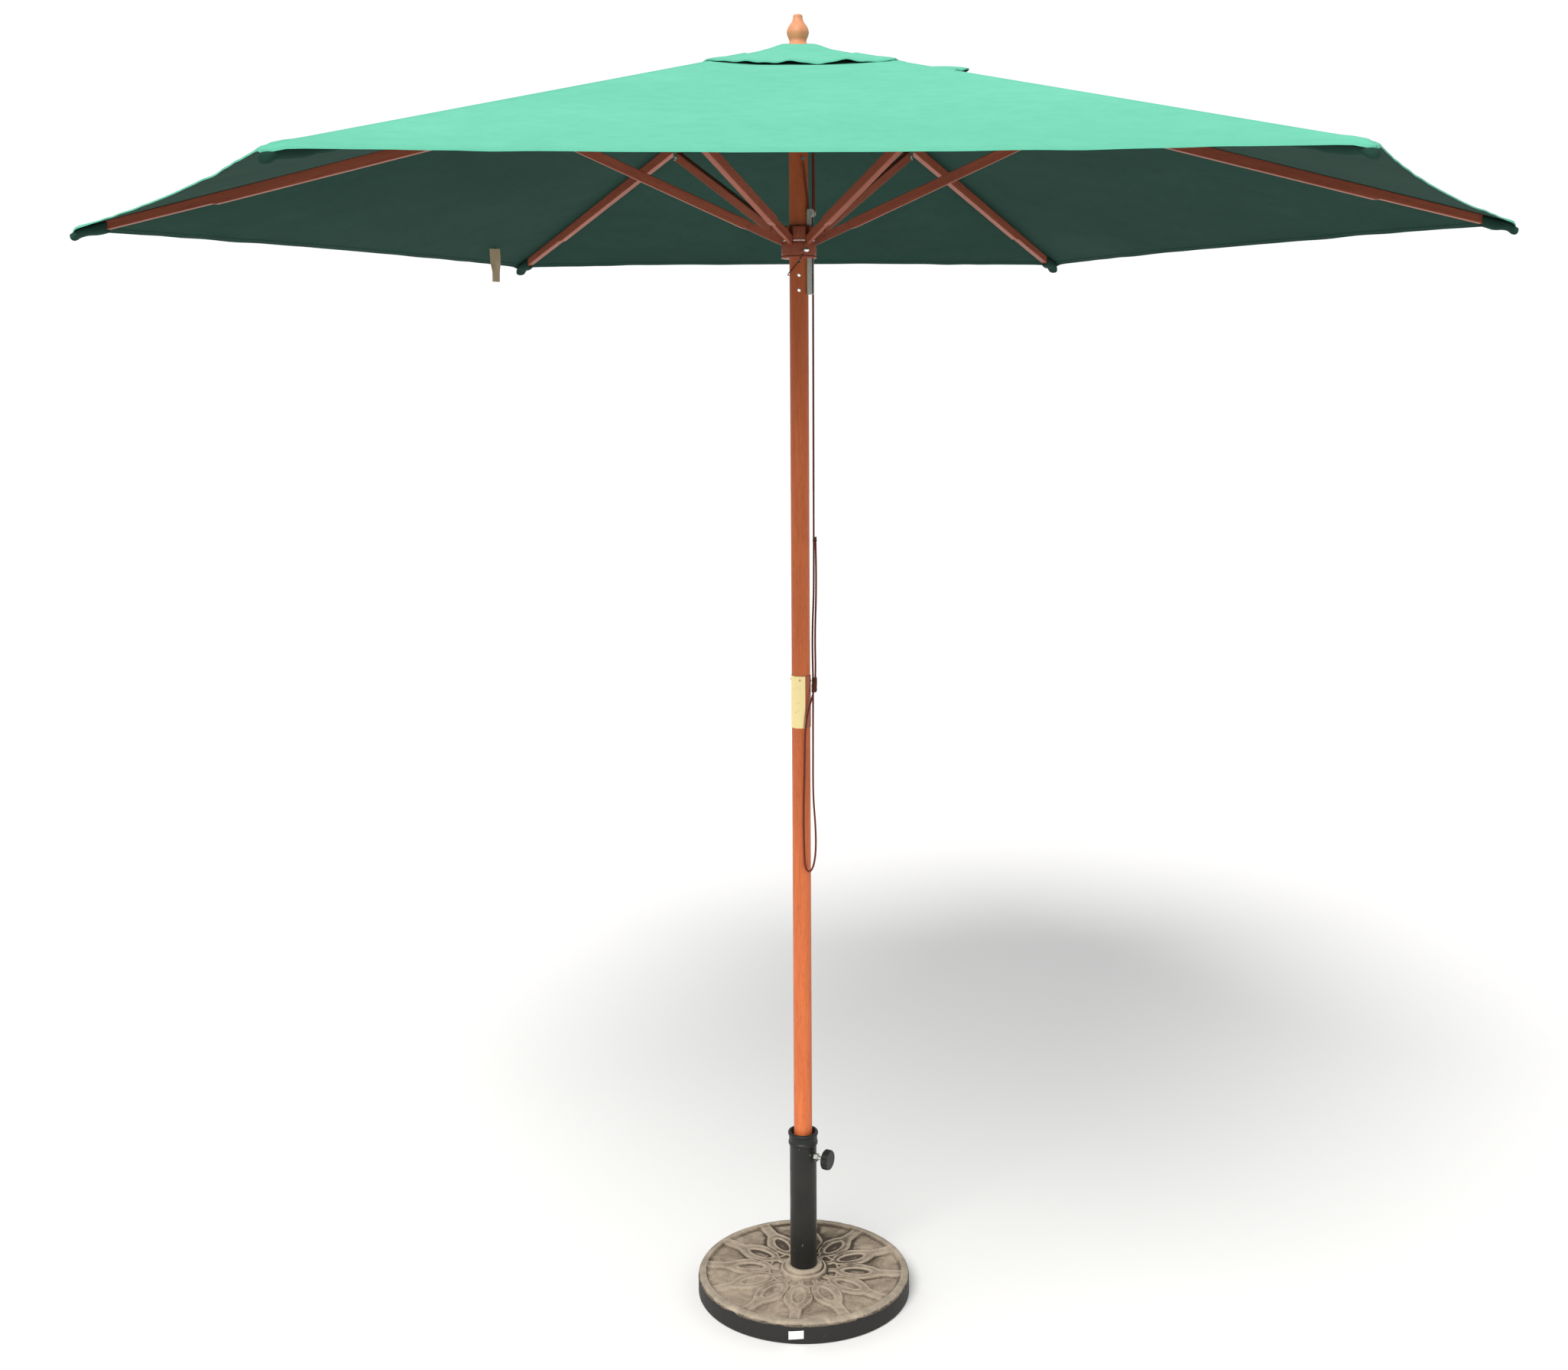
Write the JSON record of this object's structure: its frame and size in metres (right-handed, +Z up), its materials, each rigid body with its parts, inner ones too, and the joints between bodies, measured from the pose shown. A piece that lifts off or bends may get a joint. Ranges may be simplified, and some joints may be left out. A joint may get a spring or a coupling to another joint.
{
  "type": "patio umbrella",
  "caption": "Centre-pole wooden umbrella with a hexagonal vented cloth canopy, sliding runner with hinged struts, pulley hoist cord, locking pin and a round cast base with a clamp tube.",
  "frame": {"origin": "centre of the base disc's underside, under the middle of the canopy", "axes": "+Z up along the pole, +X along one rib towards a canopy corner, +Y across two canopy corners"},
  "size_m": [2.9, 2.5114, 2.633],
  "materials": {
    "stained_wood": "satin",
    "finial_wood": "satin",
    "steel": "satin",
    "bright_steel": "polished",
    "canopy_cloth": "matte",
    "cast_stone": "rough",
    "label_paper": "matte",
    "black_paint": "satin",
    "black_plastic": "satin",
    "ferrule_brass": "polished",
    "sheave_plastic": "satin",
    "brown_cord": "matte",
    "tag_card": "matte"
  },
  "bodies": {
    "stand": {"base_disc": "cast_stone", "base_label": "label_paper", "stand_tube": "black_paint", "tube_collar": "black_plastic", "tube_bolt": "steel", "clamp_boss": "steel"},
    "clamp_pad": {"clamp_pad": "steel"},
    "clamp_knob": {"clamp_screw": "steel", "clamp_knob": "black_plastic"},
    "pole_foot": {"pole_foot": "black_plastic"},
    "lower_pole": {"lower_pole": "stained_wood"},
    "upper_pole": {"upper_pole": "stained_wood", "pole_ferrule": "ferrule_brass", "ferrule_nails": "ferrule_brass", "crown_hub": "stained_wood", "crown_wire": "steel", "finial": "finial_wood", "top_pulley_bracket": "steel", "cord_anchor_screw": "bright_steel", "hoist_cord_runs": "brown_cord", "hoist_cord_tail": "brown_cord", "cord_knot": "brown_cord"},
    "top_sheave": {"top_pulley_sheave": "sheave_plastic"},
    "runner": {"runner_hub": "stained_wood", "runner_wire": "bright_steel", "runner_pulley_strap": "steel", "lock_pin_tether": "brown_cord"},
    "runner_sheave": {"runner_pulley_sheave": "sheave_plastic"},
    "lock_pin": {"lock_pin": "bright_steel"},
    "rib_1": {"rib_1": "stained_wood", "strut_clevis_1": "steel", "canopy_panel_1": "canopy_cloth", "vent_cap_panel_1": "canopy_cloth"},
    "strut_1": {"strut_1": "stained_wood"},
    "rib_2": {"rib_2": "stained_wood", "strut_clevis_2": "steel", "canopy_panel_2": "canopy_cloth", "vent_cap_panel_2": "canopy_cloth"},
    "strut_2": {"strut_2": "stained_wood"},
    "rib_3": {"rib_3": "stained_wood", "strut_clevis_3": "steel", "canopy_panel_3": "canopy_cloth", "vent_cap_panel_3": "canopy_cloth", "hang_tag": "tag_card"},
    "strut_3": {"strut_3": "stained_wood"},
    "rib_4": {"rib_4": "stained_wood", "strut_clevis_4": "steel", "canopy_panel_4": "canopy_cloth", "vent_cap_panel_4": "canopy_cloth"},
    "strut_4": {"strut_4": "stained_wood"},
    "rib_5": {"rib_5": "stained_wood", "strut_clevis_5": "steel", "canopy_panel_5": "canopy_cloth", "vent_cap_panel_5": "canopy_cloth"},
    "strut_5": {"strut_5": "stained_wood"},
    "rib_6": {"rib_6": "stained_wood", "strut_clevis_6": "steel", "canopy_panel_6": "canopy_cloth", "vent_cap_panel_6": "canopy_cloth"},
    "strut_6": {"strut_6": "stained_wood"}
  },
  "joints": [
    {"name": "clamp_pad_slide", "type": "slide", "parent": "stand", "child": "clamp_pad", "axis": [0.866, -0.5, 0], "range_m": [0, 0.0034]},
    {"name": "clamp_knob_turn", "type": "hinge", "parent": "clamp_pad", "child": "clamp_knob", "pos_m": [0.0433, -0.025, 0.292], "axis": [0.866, -0.5, 0], "range_deg": [0, 960]},
    {"name": "pole_insert", "type": "slide", "parent": "stand", "child": "pole_foot", "axis": [0, 0, 1], "range_m": [0, 0.28]},
    {"name": "pole_swivel", "type": "hinge", "parent": "pole_foot", "child": "lower_pole", "pos_m": [0, 0, 0.044], "axis": [0, 0, 1], "continuous": true},
    {"name": "pole_lift", "type": "slide", "parent": "lower_pole", "child": "upper_pole", "axis": [0, 0, 1], "range_m": [0, 0.1]},
    {"name": "runner_slide", "type": "slide", "parent": "upper_pole", "child": "runner", "axis": [0, 0, 1], "range_m": [-0.66912, 0], "deforming": ["hoist_cord_runs"]},
    {"name": "top_sheave_spin", "type": "hinge", "parent": "upper_pole", "child": "top_sheave", "pos_m": [0.0295, 0.0185, 2.475], "axis": [1, 0, 0], "continuous": true},
    {"name": "runner_sheave_spin", "type": "hinge", "parent": "runner", "child": "runner_sheave", "pos_m": [0.02477, -0.0143, 2.242], "axis": [0.5, 0.866, 0], "continuous": true},
    {"name": "lock_pin_pull", "type": "slide", "parent": "runner", "child": "lock_pin", "axis": [0.1736, -0.9848, 0], "range_m": [0, 0.06]},
    {"name": "rib_1_fold", "type": "hinge", "parent": "upper_pole", "child": "rib_1", "pos_m": [0.0335, 0, 2.553], "axis": [0, 1, 0], "range_deg": [0, 72.25], "deforming": ["canopy_panel_1", "vent_cap_panel_1"]},
    {"name": "strut_1_fold", "type": "hinge", "parent": "rib_1", "child": "strut_1", "pos_m": [0.516, 0, 2.41], "axis": [0, 1, 0], "range_deg": [-136.37, 0]},
    {"name": "rib_2_fold", "type": "hinge", "parent": "upper_pole", "child": "rib_2", "pos_m": [0.01675, 0.02901, 2.553], "axis": [-0.866, 0.5, 0], "range_deg": [0, 72.25], "deforming": ["canopy_panel_2", "vent_cap_panel_2"]},
    {"name": "strut_2_fold", "type": "hinge", "parent": "rib_2", "child": "strut_2", "pos_m": [0.258, 0.44687, 2.41], "axis": [-0.866, 0.5, 0], "range_deg": [-136.37, 0]},
    {"name": "rib_3_fold", "type": "hinge", "parent": "upper_pole", "child": "rib_3", "pos_m": [-0.01675, 0.02901, 2.553], "axis": [-0.866, -0.5, 0], "range_deg": [0, 72.25], "deforming": ["canopy_panel_3", "vent_cap_panel_3"]},
    {"name": "strut_3_fold", "type": "hinge", "parent": "rib_3", "child": "strut_3", "pos_m": [-0.258, 0.44687, 2.41], "axis": [-0.866, -0.5, 0], "range_deg": [-136.37, 0]},
    {"name": "rib_4_fold", "type": "hinge", "parent": "upper_pole", "child": "rib_4", "pos_m": [-0.0335, 0, 2.553], "axis": [0, -1, 0], "range_deg": [0, 72.25], "deforming": ["canopy_panel_4", "vent_cap_panel_4"]},
    {"name": "strut_4_fold", "type": "hinge", "parent": "rib_4", "child": "strut_4", "pos_m": [-0.516, 0, 2.41], "axis": [0, -1, 0], "range_deg": [-136.37, 0]},
    {"name": "rib_5_fold", "type": "hinge", "parent": "upper_pole", "child": "rib_5", "pos_m": [-0.01675, -0.02901, 2.553], "axis": [0.866, -0.5, 0], "range_deg": [0, 72.25], "deforming": ["canopy_panel_5", "vent_cap_panel_5"]},
    {"name": "strut_5_fold", "type": "hinge", "parent": "rib_5", "child": "strut_5", "pos_m": [-0.258, -0.44687, 2.41], "axis": [0.866, -0.5, 0], "range_deg": [-136.37, 0]},
    {"name": "rib_6_fold", "type": "hinge", "parent": "upper_pole", "child": "rib_6", "pos_m": [0.01675, -0.02901, 2.553], "axis": [0.866, 0.5, 0], "range_deg": [0, 72.25], "deforming": ["canopy_panel_6", "vent_cap_panel_6"]},
    {"name": "strut_6_fold", "type": "hinge", "parent": "rib_6", "child": "strut_6", "pos_m": [0.258, -0.44687, 2.41], "axis": [0.866, 0.5, 0], "range_deg": [-136.37, 0]}
  ],
  "couplings": [
    {"joint": "clamp_pad_slide", "follows": "clamp_knob_turn", "m_per_rad": 0.00019894},
    {"joint": "rib_1_fold", "follows": "runner_slide", "rad_per_m": -1.8833},
    {"joint": "strut_1_fold", "follows": "runner_slide", "rad_per_m": 3.5544},
    {"joint": "rib_2_fold", "follows": "runner_slide", "rad_per_m": -1.8833},
    {"joint": "strut_2_fold", "follows": "runner_slide", "rad_per_m": 3.5544},
    {"joint": "rib_3_fold", "follows": "runner_slide", "rad_per_m": -1.8833},
    {"joint": "strut_3_fold", "follows": "runner_slide", "rad_per_m": 3.5544},
    {"joint": "rib_4_fold", "follows": "runner_slide", "rad_per_m": -1.8833},
    {"joint": "strut_4_fold", "follows": "runner_slide", "rad_per_m": 3.5544},
    {"joint": "rib_5_fold", "follows": "runner_slide", "rad_per_m": -1.8833},
    {"joint": "strut_5_fold", "follows": "runner_slide", "rad_per_m": 3.5544},
    {"joint": "rib_6_fold", "follows": "runner_slide", "rad_per_m": -1.8833},
    {"joint": "strut_6_fold", "follows": "runner_slide", "rad_per_m": 3.5544}
  ]
}
